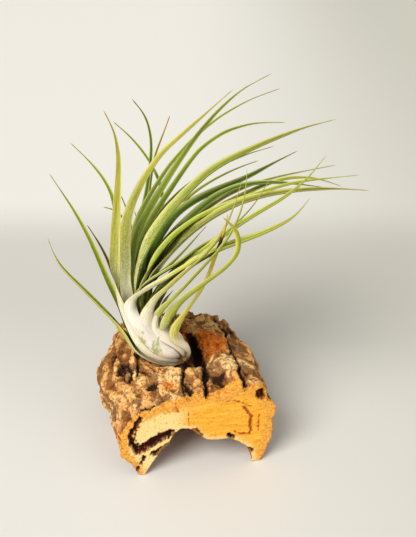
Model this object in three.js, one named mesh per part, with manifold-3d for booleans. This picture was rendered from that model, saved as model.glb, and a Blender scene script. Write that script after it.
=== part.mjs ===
// An air plant, Tillandsia nidus, standing in a knot hole of an arched piece of cork bark.
// Millimetres, +Z up. The tunnel under the bark runs along Y and the cut end that shows faces -Y.
import * as THREE from 'three';
import { mergeVertices } from 'three/addons/utils/BufferGeometryUtils.js';
import Module from 'manifold-3d';

const wasm = await Module();
wasm.setup();

// Bark: size of the piece
const barkFrontY = -43;
const barkBackY = 44;
const barkGirth = 150;
const barkRowsAlong = 30;
const barkOuterPoints = 52;
const barkInnerPoints = 16;
const ridgeHeight = 4.6;
const ridgeSpacing = 8.5;
const ridgeLength = 30;
const ridgeWander = 5;
const lumpHeight = 1.6;
const lumpSpacing = 19;

// Outline of the bark across the tunnel, [x, z] from the left foot over the top to the right foot
const outerFront = [
  [-31, 0], [-37, 9], [-38.5, 17], [-38, 25.5], [-33.5, 33], [-24.5, 40], [-13, 43.5], [-1, 46], [12, 47],
  [20, 48], [27, 46.5], [32.5, 43], [37, 35.5], [38.5, 28], [38, 20], [36, 10], [31, 0],
];
const outerMiddle = [
  [-33, 0], [-41, 8], [-44.5, 18], [-45.5, 28], [-42.5, 36], [-36, 41.5], [-24, 44.5], [-8, 45.5],
  [8, 45.5], [20, 44], [28, 41], [33.5, 36], [36.5, 29], [37, 19], [35, 8], [31, 0],
];
const outerBack = [
  [-27, 0], [-33, 8], [-35.5, 18], [-34, 27], [-30, 32], [-20, 35], [-6, 35.5], [6, 35.5],
  [15, 34], [22, 31], [29, 27], [33, 21], [34.5, 14], [33, 6], [29, 0],
];

// Outline of the tunnel under it, in the same terms
const innerFront = [
  [-27, 0], [-24, 5.5], [-19.5, 12.5], [-15, 17], [-12.5, 23.5], [-8, 26.5], [-3, 24.5], [1, 19],
  [7, 16.5], [13, 17], [19, 14], [23, 10], [25, 5], [26, 0],
];
const innerMiddle = [
  [-27, 0], [-25, 8], [-19, 16], [-11, 20], [-3, 21], [5, 20], [12, 18], [19, 14], [23, 8], [25, 0],
];
const innerBack = [
  [-23, 0], [-21.5, 7], [-17, 13], [-10, 17], [-3, 18.5], [5, 17.5], [12, 15], [18, 11], [22, 6], [24, 0],
];

// Knot hole in the top of the bark, where the plant stands
const holeX = -1;
const holeY = -6;
const holeHalfX = 12;
const holeHalfY = 13;
const holeDepth = 12;
const holeFloor = 25;
const holeRimSoftness = 0.34;
const seatClearance = 2.2;

// Plant: the butt is where the stem starts, and the bulb leans to the left and back from there
const butt = new THREE.Vector3(1, -7, 40);
const bulbLength = 44;
const bulbRadius = 10.9;
const bulbBow = 4;
const bulbNeckRadius = 8.6;
const bulbFlareLength = 17;
const stemRadius = 2.6;
const stemBelowButt = 3;
const stemAboveButt = 6.5;
const stemSides = 10;

// Leaves
const leafThickness = 0.72;
const leafGap = 0.32;
const tipHalfWidth = 0.42;
const sheathHalfAngle = THREE.MathUtils.degToRad(24);
const layerPitch = 1.15;
const startPitch = 2.1;
const startBelowButt = 1.6;
const outerLeaves = 13;
const firstInnerLayer = 3;
const channelDepth = 0.42;
const sheathTop = 27.3;
const sheathEndShare = 0.68;
const bladeFullness = 2.4;
const sheathStations = 4;
const bladeStations = 10;
const curveDivisions = 400;
const plantLean = 0.4;
const fanSpread = 1.3;

// How leaves are bent clear of each other
const trimGap = 0.2;
const smallestTrim = 0.0001;
const cutTidiness = 0.003;
const leafReach = 5.5;
const clearRounds = 240;
const samplesPerStep = 4;
const stationFreedom = [0, 0.15, 0.5, 0.8];
const sheathZone = 5;
const sheathStep = 2.2;
const sheathSpare = 0.35;
const pushRate = 0.7;
const smoothRate = 0.03;
const mostDrift = 1.6;
const lineOfSight = new THREE.Vector3(0, 0, 1);
const lightAboveBulb = new THREE.Vector3(10, 0, 190);

// The leaves are laid out as a viewer sees them who stands a little to the left and looks down on the plant.
// Every leaf point is [across, up, away] in mm from the butt, across and up on the plane through the butt.
const viewAzimuth = THREE.MathUtils.degToRad(-10);
const viewElevation = THREE.MathUtils.degToRad(30);
const viewDistance = 400;
const sightAcross = 9;
const sightUp = 44.75;
const viewRight = new THREE.Vector3(Math.cos(viewAzimuth), Math.sin(viewAzimuth), 0);
const viewInto = new THREE.Vector3(
  -Math.sin(viewAzimuth) * Math.cos(viewElevation),
  Math.cos(viewAzimuth) * Math.cos(viewElevation),
  -Math.sin(viewElevation));
const viewUp = new THREE.Vector3().crossVectors(viewRight, viewInto);

// Bulb axis in the same terms, and the two directions across it
const bulbAxis = new THREE.Vector3(-0.70, 0.65, -0.30).normalize();
const bulbToViewer = new THREE.Vector3(0, 0, -1).addScaledVector(bulbAxis, bulbAxis.z).normalize();
const bulbToRight = new THREE.Vector3().crossVectors(bulbAxis, bulbToViewer).negate();

// One row for each leaf that shows. turn is the place of its sheath round the bulb in degrees: 0 faces the
// viewer, 90 the upper right, 180 the back. blade is its width in mm at its foot, path its points [across, up]
// from the bulb to the tip, and away its depth in mm at the middle and at the tip. sheathTop is the height on
// the bulb where its sheath ends, if that is lower than usual. Outer leaves come first.
const shownLeaves = [
  { name: 'leaf_low_left', turn: -97, blade: 3.8, away: [-9, -12],
    path: [[-31, 10.5], [-42.5, 22.5], [-55.5, 36], [-66, 47], [-71.5, 60.5]] },
  { name: 'leaf_right_front', turn: 26, blade: 3.2, sheathTop: 16, away: [-20, -30],
    path: [[-3.5, 20], [1, 27], [5.5, 33], [9.5, 40.5], [13, 50.5], [18, 65], [19, 73]] },
  { name: 'leaf_old_sheath', turn: 24, blade: 2.6, away: [-11, -9],
    path: [[-13.5, 27], [-11, 31], [-7.5, 34.5]] },
  { name: 'leaf_tall_left', turn: -72, blade: 4.8, away: [-9, 2],
    path: [[-35.5, 26], [-38, 40], [-38, 52], [-37, 67],
      [-36, 87], [-35.8, 105], [-38.5, 115.5], [-44, 125]] },
  { name: 'leaf_white_front', turn: -24, blade: 4.2, away: [-21, -18],
    path: [[-32, 25], [-30, 29], [-20, 35], [-3, 44], [5.5, 50.5],
      [12, 55.5], [18, 65.5], [23, 77.5], [26, 88.5]] },
  { name: 'leaf_hook_right', turn: 54, blade: 4.0, sheathTop: 21, away: [-30, -36],
    path: [[-5, 27], [0.5, 32], [13, 41.2], [24, 50.5], [26, 57], [23, 65], [15.5, 71]] },
  { name: 'leaf_cream_front', turn: 2, blade: 3.6, away: [-22, -27],
    path: [[-17.7, 28.5], [-10, 35.5], [-3, 42.5], [6.5, 50.5], [16.5, 62], [21.5, 73]] },
  { name: 'leaf_back_left_outer', turn: -118, blade: 3.0, away: [12, 22],
    path: [[-33, 22], [-40.5, 36], [-46.5, 50.5], [-51, 60.5], [-59, 75], [-64, 82.5], [-71, 93]] },
  { name: 'leaf_slim_front', turn: 26, blade: 2.8, away: [-26, -24],
    path: [[-12, 25.5], [-2, 36], [9.5, 48.5], [18, 57.5],
      [23.5, 68], [27, 77], [28.5, 86.5], [28.7, 96]] },
  { name: 'leaf_short_left', turn: -146, blade: 2.6, away: [15, 20],
    path: [[-33, 28], [-38, 40], [-41, 48.5], [-47.5, 60.5], [-52, 67]] },
  { name: 'leaf_drooping_right', turn: 52, blade: 4.2, away: [-26, -24],
    path: [[-9, 39], [-0.5, 45], [11.5, 53], [26, 58], [41, 64], [51, 69], [58, 75.5], [61, 81]] },
  { name: 'leaf_back_left_high', turn: -128, blade: 3.0, away: [24, 30],
    path: [[-34, 32], [-36, 50], [-38, 78.5], [-42, 88], [-51, 99], [-61, 108.5]] },
  { name: 'leaf_rising_right', turn: 20, blade: 3.4, away: [-20, -15],
    path: [[-12, 40], [-2.5, 46], [13.5, 58.5], [31, 70.5],
      [46, 79], [54.5, 85.5], [63, 93.5], [68.8, 102]] },
  { name: 'leaf_pale_middle', turn: -28, blade: 2.6, away: [-15, -10],
    path: [[-28.5, 32], [-20, 38.5], [-5, 47.5], [10, 59.5],
      [18, 61.7], [30, 74], [36, 81.5], [41, 91.5]] },
  { name: 'leaf_short_middle', turn: 4, blade: 2.4, sheathTop: 21, away: [-9, -11],
    path: [[-19, 38], [-10.5, 45.5], [0.5, 57], [5.5, 63], [9, 66.7]] },
  { name: 'leaf_thin_left', turn: -104, blade: 1.8, away: [11, 16],
    path: [[-31, 34], [-30.5, 50], [-31, 64], [-35, 73.5], [-44.2, 75.5]] },
  { name: 'leaf_long_right', turn: 34, blade: 4.8, away: [-12, -13],
    path: [[-20, 37], [-12.5, 49], [3, 64.5], [20.5, 75.5],
      [36.7, 81], [63, 84.5], [77.5, 84.5], [90.3, 83.6]] },
  { name: 'leaf_stub_left', turn: -84, blade: 2.2, away: [8, 13],
    path: [[-30, 36], [-29, 55], [-30, 70], [-35, 82]] },
  { name: 'leaf_bright_right', turn: -6, blade: 3.6, away: [-6, -4],
    path: [[-23, 38], [-16.5, 51], [-4, 64.5], [15.5, 75.5],
      [29.5, 80], [44, 86], [72.5, 90.2], [85.5, 91.5]] },
  { name: 'leaf_curled_right', turn: 66, blade: 3.0, away: [3, -2],
    path: [[-21, 42], [-8, 58], [10, 72], [30, 83], [51, 91], [60.5, 90.7], [68, 89], [76.5, 85.5]] },
  { name: 'leaf_upper_right', turn: 96, blade: 3.0, away: [8, 6],
    path: [[-22, 41], [-13, 53], [0, 67], [15, 79], [34.5, 88], [53.5, 92.5], [73.5, 96.5]] },
  { name: 'leaf_dark_right', turn: 40, blade: 3.6, away: [0, 0],
    path: [[-20, 44], [-12, 56], [4.5, 73.5], [20, 84.5], [40.5, 88], [53.5, 87], [68, 85]] },
  { name: 'leaf_wide_left', turn: -48, blade: 5.2, away: [3, 13],
    path: [[-31.5, 32], [-32.5, 54.5], [-32.5, 66], [-24, 86.5],
      [-16, 100], [-2.5, 112.5], [14, 127.5], [22.5, 135]] },
  { name: 'leaf_second_highest', turn: -112, blade: 3.0, away: [15, 22],
    path: [[-29.5, 40], [-28, 64], [-22.5, 76.5], [-6, 101.5], [9.5, 116.5], [26, 127.5], [46, 135]] },
  { name: 'leaf_dark_arch', turn: 80, blade: 3.8, away: [6, 9],
    path: [[-22, 46], [-15, 60], [-5, 73.5], [10, 82], [31, 91], [42, 97.5], [55, 104]] },
  { name: 'leaf_widest', turn: -8, blade: 5.6, away: [-2, 2],
    path: [[-26.5, 36], [-23, 51], [-16.5, 64], [-1, 82.5],
      [14, 96], [32, 104.5], [53.5, 114], [74, 119.5]] },
  { name: 'leaf_highest', turn: -76, blade: 4.2, away: [8, 16],
    path: [[-29.5, 40], [-28, 57], [-19, 75.5], [-2.5, 102], [14, 123.5], [29, 136.5], [41.5, 142.5]] },
  { name: 'leaf_grey_under', turn: 112, blade: 2.2, away: [10, 7],
    path: [[-23, 46], [-18, 58], [-8, 73], [3, 83.5], [22, 94.2], [35.5, 99]] },
  { name: 'leaf_level_high', turn: -150, blade: 3.0, away: [23, 28],
    path: [[-28, 44], [-21.5, 65.5], [-9.5, 83.5], [6, 105.5],
      [22.5, 115.5], [36.5, 118], [48.5, 117.7]] },
  { name: 'leaf_hidden_rib', turn: 140, blade: 2.2, away: [18, 17],
    path: [[-26, 46], [-15, 71.5], [2.5, 89], [16, 96.5], [34.5, 104], [43, 106]] },
  { name: 'leaf_curl_up', turn: -135, blade: 2.6, away: [22, 28],
    path: [[-27, 44], [-26, 60], [-20, 93], [-19.5, 114], [-23.5, 124], [-30, 130.5]] },
  { name: 'leaf_pink_tip', turn: 176, blade: 1.8, away: [26, 33],
    path: [[-26, 46], [-22, 65], [-18, 100], [-13.5, 111.5], [-9.5, 122.5]] },
  { name: 'leaf_thin_back', turn: 158, blade: 2.2, away: [30, 38],
    path: [[-25, 46], [-18, 60], [-13, 76], [-17.5, 94], [-30.5, 111.5], [-39.5, 119]] },
];

// Leaves at the back, which the front ones hide from the viewer. Some arch straight away from the viewer, and
// some lie behind a wide front leaf, well away from it.
const backLeafSeed = 7;
const backBlade = [2.6, 4.2];
const archingBack = [
  { turn: 112, tip: [-14, 68, 46] },
  { turn: 196, tip: [-28, 74, 40] },
  { turn: 166, tip: [-26, 55, 80] },
  { turn: 138, tip: [-12, 55, 72] },
];
const archingFoot = { across: [-24, -28], up: 41 };
const archingCrest = 5;
const behindLeaf = {
  leaf_widest: { tipAway: 44, turn: 92 },
  leaf_wide_left: { tipAway: 40, turn: 186 },
  leaf_highest: { tipAway: 58, turn: 142 },
};
const middleAwayShare = 0.6;
const behindLength = 0.82;

const silverGreen = new THREE.Color(0x9aa37c);
const barkBrown = new THREE.Color(0xa8835c);
const stemBrown = new THREE.Color(0x8a7350);

function smoothStep(low, high, value) {
  const t = THREE.MathUtils.clamp((value - low) / (high - low), 0, 1);
  return t * t * (3 - 2 * t);
}

// A point given as the viewer sees it, put in the part's frame
function fromView(across, up, away) {
  const spread = away / viewDistance;
  return butt.clone()
    .addScaledVector(viewRight, across + (across - sightAcross) * spread)
    .addScaledVector(viewUp, up + (up - sightUp) * spread)
    .addScaledVector(viewInto, away);
}

// Radius of one layer of the bulb at a height along its axis, for a leaf that starts on the stem at startAt
function layerRadius(height, startAt, fullRadius) {
  const rootRadius = stemRadius + leafGap + leafThickness;
  const flare = Math.sin((Math.PI / 2) * THREE.MathUtils.clamp((height - startAt) / bulbFlareLength, 0, 1));
  const neck = smoothStep(bulbFlareLength, bulbLength, height) * (1 - bulbNeckRadius / bulbRadius);
  return rootRadius + (fullRadius - rootRadius) * flare * (1 - neck);
}

// The bulb bows a little to the viewer's left on its way up
function bulbCentre(height) {
  const bow = bulbBow * Math.sin(Math.PI * THREE.MathUtils.clamp(height / bulbLength, 0, 1)) ** 2;
  return bulbAxis.clone().multiplyScalar(height).addScaledVector(bulbToRight, -bow);
}

// A point on the bulb in the viewer's terms: height along the axis, angle round it and radius
function onBulb(height, angle, radius) {
  return bulbCentre(height)
    .addScaledVector(bulbToViewer, radius * Math.cos(angle))
    .addScaledVector(bulbToRight, radius * Math.sin(angle));
}

function degreesApart(a, b) {
  const apart = Math.abs(a - b) % 360;
  return Math.min(apart, 360 - apart);
}

// Random numbers from 0 to 1 that are the same in every run
function seededRandom(seed) {
  let state = seed;
  return () => {
    state = (state * 16807) % 2147483647;
    return state / 2147483647;
  };
}

function backLeaves() {
  const random = seededRandom(backLeafSeed);
  const blade = () => THREE.MathUtils.lerp(backBlade[0], backBlade[1], random());
  const arching = archingBack.map(({ turn, tip: [tipAcross, tipUp, tipAway] }, i) => {
    const footAcross = THREE.MathUtils.lerp(...archingFoot.across, random());
    const crestAcross = THREE.MathUtils.lerp(footAcross, tipAcross, 1 / 3);
    return {
      name: `leaf_back_${i + 1}`,
      turn,
      blade: blade(),
      away: [tipAway * middleAwayShare, tipAway],
      path: [[footAcross, archingFoot.up], [crestAcross, tipUp - archingCrest], [tipAcross, tipUp]],
    };
  });
  const behind = Object.entries(behindLeaf).map(([name, { tipAway, turn }], i) => {
    const front = shownLeaves.find((row) => row.name === name);
    return {
      name: `leaf_behind_${i + 1}`,
      turn,
      blade: blade(),
      away: [tipAway * middleAwayShare, tipAway],
      path: front.path.slice(1, Math.ceil(front.path.length * behindLength)),
    };
  });
  return [...behind, ...arching];
}

// Sheaths that overlap get layers of their own in the bulb. The outer leaves are laid one under the other,
// and the inner ones take the outermost layer that is still free at their side of the bulb.
function nestLeaves(rows) {
  const sheathSpan = 2 * THREE.MathUtils.radToDeg(sheathHalfAngle);
  rows.forEach((row, index) => {
    const taken = rows.slice(0, index)
      .filter((other) => degreesApart(other.turn, row.turn) < sheathSpan)
      .map((other) => other.layer);
    row.layer = index < outerLeaves ? Math.max(-1, ...taken) + 1 : firstInnerLayer;
    while (taken.includes(row.layer)) row.layer += 1;
    row.fullRadius = Math.max(bulbRadius - row.layer * layerPitch, stemRadius + 1.6);
    row.startAt = row.layer * startPitch - startBelowButt;
  });
}

// Points of a leaf's middle line as [across, up, away], from the stem to the tip, with the sheath ones first
function middleLine(row) {
  const angle = THREE.MathUtils.degToRad(row.turn);
  const usualEnd = Math.max(row.startAt + bulbFlareLength * 0.9, sheathTop);
  const sheathEnd = row.sheathTop ?? usualEnd;
  const points = [];
  for (let i = 0; i < sheathStations; i += 1) {
    const height = THREE.MathUtils.lerp(row.startAt, sheathEnd, (i / (sheathStations - 1)) ** 1.15);
    points.push(onBulb(height, angle, layerRadius(height, row.startAt, row.fullRadius)));
  }
  const start = points[points.length - 1];
  const startFan = start.z + plantLean * start.y;
  const [middleFan, tipFan] = row.away;
  const seen = [[start.x, start.y], ...row.path];
  const reached = [0];
  for (let i = 1; i < seen.length; i += 1) {
    reached.push(reached[i - 1] + Math.hypot(seen[i][0] - seen[i - 1][0], seen[i][1] - seen[i - 1][1]));
  }
  row.path.forEach(([across, up], i) => {
    const t = reached[i + 1] / reached[reached.length - 1];
    const bentFan = middleFan * 4 * t * (1 - t) + tipFan * t * (2 * t - 1);
    const fan = startFan * (1 - t) * (1 - 2 * t) + fanSpread * bentFan;
    points.push(new THREE.Vector3(across, up, fan - plantLean * up));
  });
  return points;
}

// Stations along a leaf: the middle line made smooth and cut into steps that shorten towards the sheath
function stationsOf(row) {
  const points = middleLine(row);
  const curve = new THREE.CatmullRomCurve3(points, false, 'centripetal');
  curve.arcLengthDivisions = curveDivisions;
  const length = curve.getLength();
  const lengths = curve.getLengths();
  const sheathLength = lengths[Math.round((curveDivisions * (sheathStations - 1)) / (points.length - 1))];
  const stations = [];
  for (let i = 0; i < sheathStations; i += 1) {
    stations.push(curve.getPointAt((sheathLength / length) * (i / sheathStations)));
  }
  for (let i = 0; i <= bladeStations; i += 1) {
    const along = (i / bladeStations) ** 1.12;
    stations.push(curve.getPointAt(THREE.MathUtils.lerp(sheathLength / length, 1, along)));
  }
  return stations;
}

// Half the width of a leaf at a station: wide round the bulb, narrow in the blade, a thread at the tip
function halfWidthAt(row, index) {
  const radius = row.stationRadius[index];
  const sheathWidth = radius * Math.sin(sheathHalfAngle);
  const along = (index - sheathStations) / bladeStations;
  if (along < 0) return Math.max(sheathWidth, 1);
  const blade = (row.blade / 2) * (1 - along ** bladeFullness);
  const fromSheath = THREE.MathUtils.lerp(row.sheathHalfWidth, blade, smoothStep(0, 0.22, along));
  return Math.max(fromSheath, tipHalfWidth);
}

// Directions of a leaf at each station: along it, across it and out of its channel, which faces the bulb's
// axis in the sheath and the light above the plant in the blade
function framesOf(row) {
  const count = row.stations.length;
  const real = row.stations.map((p) => fromView(p.x, p.y, p.z));
  const bulbTop = fromView(...bulbCentre(bulbLength));
  const light = bulbTop.clone().add(lightAboveBulb);
  row.frames = real.map((point, i) => {
    const along = real[Math.min(i + 1, count - 1)].clone().sub(real[Math.max(i - 1, 0)]).normalize();
    const inward = fromView(...bulbCentre(row.stations[i].dot(bulbAxis))).sub(point).normalize();
    const toLight = light.clone().sub(point).normalize();
    const turned = smoothStep(sheathStations - 1, sheathStations + 4, i);
    const facing = inward.lerp(toLight, turned);
    facing.addScaledVector(along, -facing.dot(along)).normalize();
    const across = new THREE.Vector3().crossVectors(along, facing).normalize();
    return { point, along, across, facing };
  });
}

// Where leaves would cross they are bent clear. Sheaths move apart through their thickness, as they lie on
// each other, and blades along the line of sight, so that what the viewer sees of them stays.
function turnToView(direction) {
  return new THREE.Vector3(direction.dot(viewRight), direction.dot(viewUp), direction.dot(viewInto));
}

function sampleLeaf(row) {
  const samples = [];
  for (let i = 0; i < row.stations.length - 1; i += 1) {
    for (let k = 0; k < samplesPerStep; k += 1) {
      const part = (k + 0.5) / samplesPerStep;
      const halfWidth = THREE.MathUtils.lerp(row.halfWidths[i], row.halfWidths[i + 1], part);
      const frame = row.frames[part < 0.5 ? i : i + 1];
      const across = turnToView(frame.across);
      const facing = turnToView(frame.facing);
      const rise = halfWidth * channelDepth;
      samples.push({
        row, part, halfWidth, across, facing,
        index: i,
        along: turnToView(frame.along),
        place: new THREE.Vector3().lerpVectors(row.stations[i], row.stations[i + 1], part),
        reach: Math.hypot(halfWidth * Math.hypot(across.x, across.y), 0.35) + 0.1,
        deep: halfWidth * Math.abs(across.z) + (leafThickness / 2 + rise / 2) * Math.abs(facing.z) + 0.28,
      });
    }
  }
  return samples;
}

function pushSample(sample, direction, size) {
  const { row, index, part } = sample;
  [[index, 1 - part], [index + 1, part]].forEach(([at, share]) => {
    const weight = share * (stationFreedom[at] ?? 1);
    row.push[at].addScaledVector(direction, size * weight);
    row.pushWeight[at] += weight;
  });
}

function clearPair(first, second) {
  first.forEach((a) => {
    second.forEach((b) => {
      if (Math.abs(a.place.x - b.place.x) > 2 * leafReach) return;
      if (Math.abs(a.place.y - b.place.y) > 2 * leafReach) return;
      if (Math.abs(a.place.z - b.place.z) > 2 * leafReach) return;
      const offset = a.place.clone().sub(b.place);
      const bothSheaths = a.index < sheathZone && b.index < sheathZone;
      let axis = lineOfSight;
      let needed = a.deep + b.deep + leafGap;
      if (bothSheaths) {
        axis = b.facing.dot(a.facing) < 0 ? a.facing.clone().sub(b.facing) : a.facing.clone().add(b.facing);
        axis.normalize();
        needed = leafThickness + leafGap + sheathSpare;
        if (Math.abs(offset.dot(a.along)) > sheathStep) return;
        if (Math.abs(offset.dot(a.across)) > a.halfWidth + b.halfWidth + leafGap) return;
      } else {
        const reach = a.reach + b.reach + leafGap;
        if (offset.x ** 2 + offset.y ** 2 > reach ** 2) return;
      }
      const apart = offset.dot(axis);
      if (Math.abs(apart) >= needed) return;
      const push = ((needed - Math.abs(apart)) / 2) * (apart < 0 ? -1 : 1);
      pushSample(a, axis, push);
      pushSample(b, axis, -push);
    });
  });
}

function bendClear(rows) {
  rows.forEach((row) => {
    row.startPlaces = row.stations.map((station) => station.clone());
  });
  for (let round = 0; round < clearRounds; round += 1) {
    rows.forEach((row) => {
      if (round % 10 === 0) framesOf(row);
      row.samples = sampleLeaf(row);
      row.box = new THREE.Box3().setFromPoints(row.stations).expandByScalar(leafReach);
      row.push = row.stations.map(() => new THREE.Vector3());
      row.pushWeight = row.stations.map(() => 0);
    });
    for (let i = 0; i < rows.length; i += 1) {
      for (let j = i + 1; j < rows.length; j += 1) {
        if (rows[i].box.intersectsBox(rows[j].box)) clearPair(rows[i].samples, rows[j].samples);
      }
    }
    rows.forEach((row) => {
      row.stations.forEach((station, i) => {
        station.addScaledVector(row.push[i], pushRate / Math.max(row.pushWeight[i], 1));
        const drift = new THREE.Vector2(station.x - row.startPlaces[i].x, station.y - row.startPlaces[i].y);
        const kept = drift.clampLength(0, mostDrift);
        station.x = row.startPlaces[i].x + kept.x;
        station.y = row.startPlaces[i].y + kept.y;
      });
      for (let i = 2; i < row.stations.length - 1; i += 1) {
        const middle = (row.stations[i - 1].z + row.stations[i + 1].z) / 2;
        row.stations[i].z += (middle - row.stations[i].z) * smoothRate;
      }
    });
  }
}

// Six-sided channel section swept along the stations, with both faces split the same way
function leafGeometry(row, grown = 0) {
  const corners = [];
  row.frames.forEach(({ point, across, facing }, i) => {
    const half = row.halfWidths[i] + grown;
    const inSheath = i < sheathStations;
    const rise = inSheath ? row.stationRadius[i] * (1 - Math.cos(sheathHalfAngle)) : half * channelDepth;
    const upper = leafThickness / 2 + grown;
    const section = [[-half, rise + upper], [0, upper], [half, rise + upper],
      [half, rise - upper], [0, -upper], [-half, rise - upper]];
    section.forEach(([side, height]) => {
      corners.push(point.clone().addScaledVector(across, side).addScaledVector(facing, height));
    });
  });
  const faces = [];
  const sides = 6;
  for (let i = 0; i < row.frames.length - 1; i += 1) {
    for (let j = 0; j < sides; j += 1) {
      const a = i * sides + j;
      const b = i * sides + ((j + 1) % sides);
      const c = a + sides;
      const d = b + sides;
      if (j < 3) faces.push([a, b, d], [a, d, c]);
      else faces.push([a, b, c], [b, d, c]);
    }
  }
  const last = (row.frames.length - 1) * sides;
  faces.push([0, 5, 4], [0, 4, 1], [1, 4, 3], [1, 3, 2]);
  faces.push([last, last + 4, last + 5], [last, last + 1, last + 4]);
  faces.push([last + 1, last + 3, last + 4], [last + 1, last + 2, last + 3]);
  return closedGeometry(corners, faces);
}

// A geometry from corners and faces, turned so that its faces point outwards
function closedGeometry(corners, faces) {
  let volume = 0;
  faces.forEach(([a, b, c]) => {
    volume += corners[a].dot(new THREE.Vector3().crossVectors(corners[b], corners[c])) / 6;
  });
  const geometry = new THREE.BufferGeometry().setFromPoints(corners);
  geometry.setIndex(faces.flatMap(([a, b, c]) => (volume < 0 ? [a, c, b] : [a, b, c])));
  geometry.computeVertexNormals();
  return geometry;
}

const rows = [...shownLeaves.map((row) => ({ ...row })), ...backLeaves()];
nestLeaves(rows);
rows.forEach((row) => {
  row.stations = stationsOf(row);
  row.stationRadius = row.stations.map((station) => {
    const height = THREE.MathUtils.clamp(station.dot(bulbAxis), 0, bulbLength);
    return station.distanceTo(bulbCentre(height));
  });
  row.sheathHalfWidth = row.fullRadius * sheathEndShare * Math.sin(sheathHalfAngle);
  row.halfWidths = row.stations.map((station, index) => halfWidthAt(row, index));
});
bendClear(rows);
rows.forEach((row) => framesOf(row));
trimTouching(rows);

// A solid from a closed geometry, and a geometry from a solid
function solidOf(geometry) {
  const bare = new THREE.BufferGeometry();
  bare.setAttribute('position', geometry.getAttribute('position'));
  bare.setIndex(geometry.index);
  const merged = mergeVertices(bare, 1e-4);
  return new wasm.Manifold(new wasm.Mesh({
    numProp: 3,
    vertProperties: merged.getAttribute('position').array,
    triVerts: new Uint32Array(merged.index.array),
  }));
}

function geometryOf(solid) {
  const mesh = solid.getMesh();
  const geometry = new THREE.BufferGeometry();
  geometry.setAttribute('position', new THREE.BufferAttribute(mesh.vertProperties.slice(), mesh.numProp));
  geometry.setIndex(new THREE.BufferAttribute(mesh.triVerts.slice(), 1));
  geometry.computeVertexNormals();
  return geometry;
}

function largestPiece(solid) {
  return solid.decompose().reduce((best, piece) => (piece.volume() > best.volume() ? piece : best));
}

// Where two leaves still touch, the one that lies deeper is cut back by a thin gap, as a sheath thins under
// the next one. The leaf that would lose more of itself stays whole.
function trimTouching(rows) {
  rows.forEach((row) => {
    row.solid = solidOf(leafGeometry(row));
    row.grown = solidOf(leafGeometry(row, trimGap)).add(row.solid);
    const points = row.frames.map((frame) => frame.point);
    row.bounds = new THREE.Box3().setFromPoints(points).expandByScalar(leafReach);
  });
  for (let i = 0; i < rows.length; i += 1) {
    for (let j = i + 1; j < rows.length; j += 1) {
      const [outer, inner] = [rows[i], rows[j]];
      if (!outer.bounds.intersectsBox(inner.bounds)) continue;
      if (outer.solid.intersect(inner.solid).volume() < smallestTrim) continue;
      const innerCut = largestPiece(inner.solid.subtract(outer.grown));
      const outerCut = largestPiece(outer.solid.subtract(inner.grown));
      const innerLoss = inner.solid.volume() - innerCut.volume();
      const outerLoss = outer.solid.volume() - outerCut.volume();
      if (innerLoss <= outerLoss) inner.solid = innerCut;
      else outer.solid = outerCut;
    }
  }
  rows.forEach((row) => {
    row.solid = largestPiece(row.solid.asOriginal().simplify(cutTidiness));
  });
}

// Smooth random field for the bark: values at whole steps, blended between them
function latticeValue(i, j) {
  const mixed = Math.sin(i * 127.1 + j * 311.7) * 43758.5453;
  return mixed - Math.floor(mixed);
}

function smoothField(x, y) {
  const i = Math.floor(x);
  const j = Math.floor(y);
  const u = smoothStep(0, 1, x - i);
  const v = smoothStep(0, 1, y - j);
  const low = THREE.MathUtils.lerp(latticeValue(i, j), latticeValue(i + 1, j), u);
  const high = THREE.MathUtils.lerp(latticeValue(i, j + 1), latticeValue(i + 1, j + 1), u);
  return THREE.MathUtils.lerp(low, high, v);
}

// Height of the bark's ridges and fissures: ridges run along the tunnel and wander
function barkRelief(around, y) {
  const wander = ridgeWander * smoothField(around / lumpSpacing, y / lumpSpacing);
  const ridge = Math.abs(2 * smoothField((around + wander) / ridgeSpacing, y / ridgeLength) - 1);
  const lump = smoothField(around / lumpSpacing + 40, y / lumpSpacing);
  return ridgeHeight * (Math.sqrt(ridge) - 0.72) + lumpHeight * (lump - 0.6);
}

function outlineCurve(points) {
  const corners = points.map(([x, z]) => new THREE.Vector3(x, 0, z));
  return new THREE.CatmullRomCurve3(corners, false, 'centripetal');
}

function sectionPoint(curves, along, share) {
  const [front, middle, back] = curves.map((curve) => curve.getPointAt(share));
  if (along < 0.5) return front.lerp(middle, smoothStep(0, 1, along * 2));
  return middle.lerp(back, smoothStep(0, 1, along * 2 - 1));
}

// Lowers a point of the bark until it is clear of the bulb that lies in the knot hole
function clearOfBulb(point) {
  const axis = fromView(...bulbAxis).sub(butt).normalize();
  const moved = point.clone();
  for (let i = 0; i < 80; i += 1) {
    const height = moved.clone().sub(butt).dot(axis);
    const radius = moved.distanceTo(fromView(...bulbCentre(height)));
    const full = layerRadius(height, -startBelowButt, bulbRadius) + leafThickness;
    const beside = height > -startBelowButt - seatClearance && height < bulbLength;
    if (!beside || radius > full + seatClearance) return moved;
    moved.z -= 0.3;
  }
  return moved;
}

function barkOuterPoint(curves, along, share, y) {
  const base = sectionPoint(curves, along, share);
  const next = sectionPoint(curves, along, Math.min(share + 0.01, 1));
  const before = sectionPoint(curves, along, Math.max(share - 0.01, 0));
  const outwards = new THREE.Vector3(before.z - next.z, 0, next.x - before.x).normalize();
  const relief = barkRelief(share * barkGirth, y) * Math.min(1, Math.min(share, 1 - share) * 12);
  const point = base.addScaledVector(outwards, relief);
  point.y = y;
  const fromHole = Math.hypot((point.x - holeX) / holeHalfX, (point.y - holeY) / holeHalfY);
  const inHole = 1 - smoothStep(1 - holeRimSoftness, 1 + holeRimSoftness, fromHole);
  if (point.z > holeFloor) point.z -= holeDepth * inHole;
  return clearOfBulb(point);
}

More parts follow.
